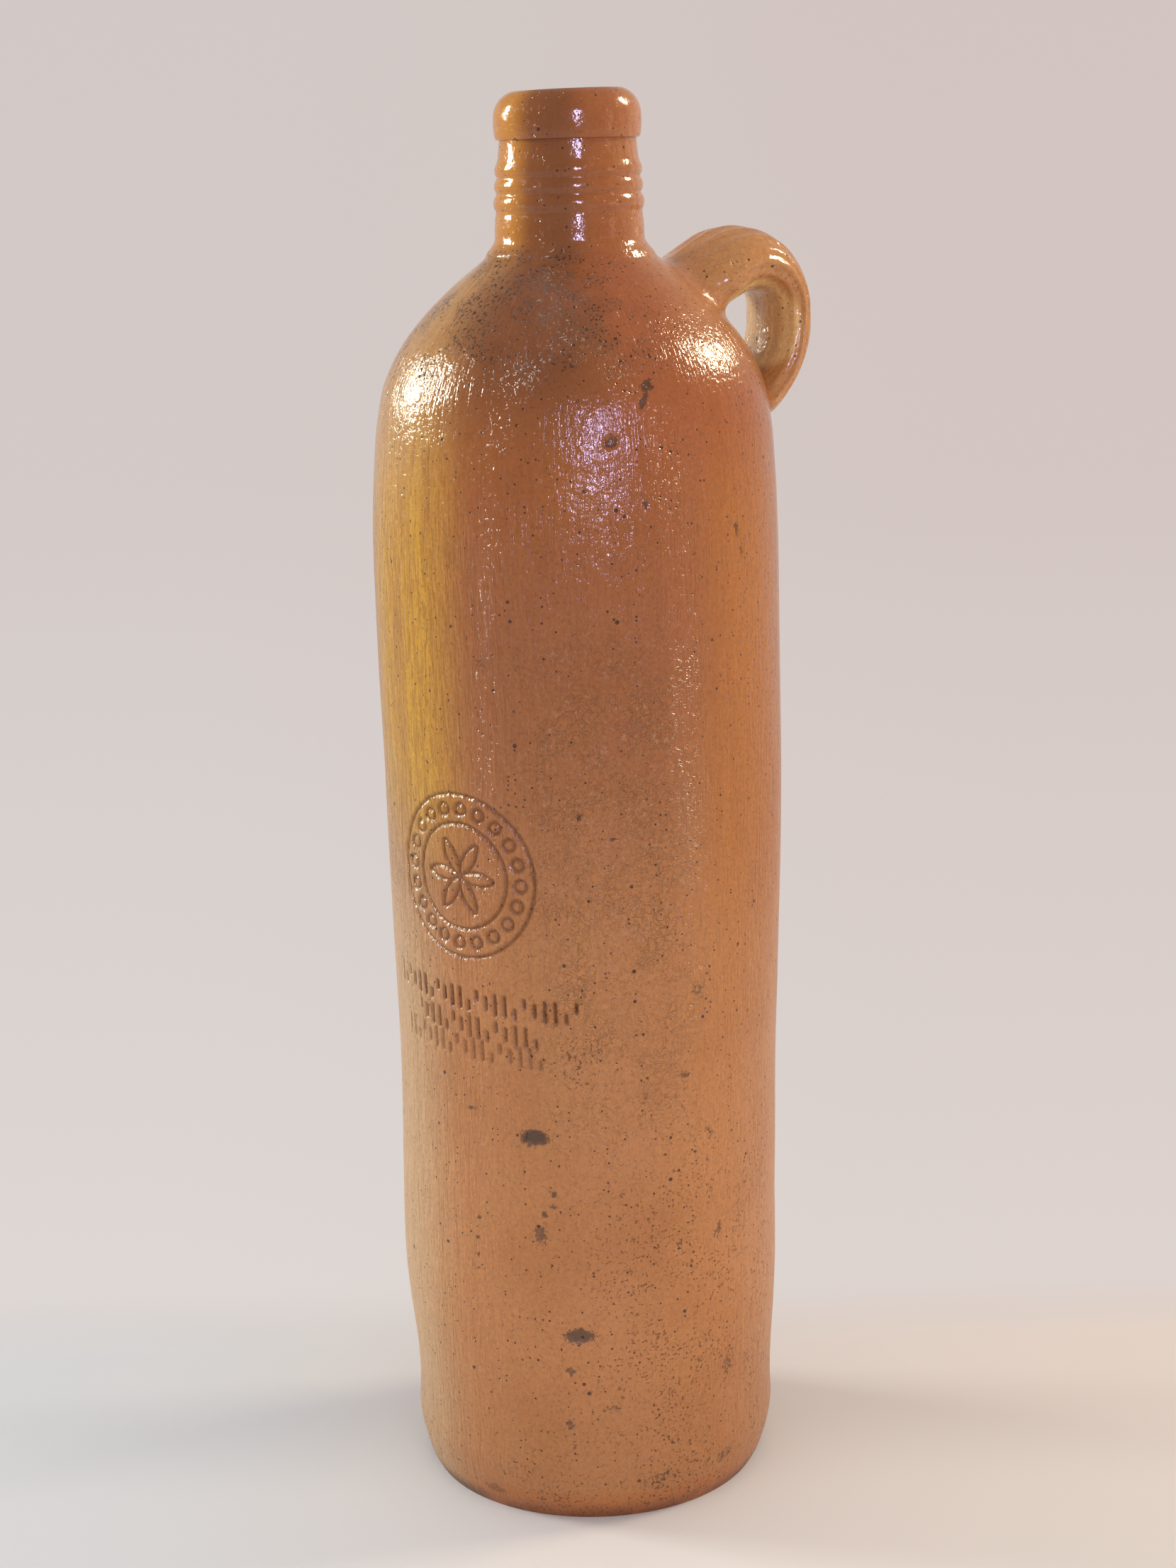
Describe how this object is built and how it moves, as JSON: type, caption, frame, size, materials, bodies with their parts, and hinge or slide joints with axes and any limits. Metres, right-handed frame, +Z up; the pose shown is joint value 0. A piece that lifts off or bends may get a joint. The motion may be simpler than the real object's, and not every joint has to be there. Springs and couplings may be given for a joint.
{
  "type": "stoneware mineral water bottle",
  "caption": "Tall thrown stoneware bottle with a rounded shoulder, a short ringed neck, a rolled lip and a small pulled strap handle from shoulder to wall.",
  "frame": {"origin": "middle of the flat foot, on the surface that the bottle stands on", "axes": "+Z up the bottle's axis towards the mouth, +X through the strap handle"},
  "size_m": [0.0968, 0.086, 0.3],
  "materials": {
    "salt_glazed_stoneware": "glossy salt glaze over an orange brown iron-bearing body"
  },
  "bodies": {
    "root": {"bottle": "salt_glazed_stoneware"}
  },
  "joints": []
}
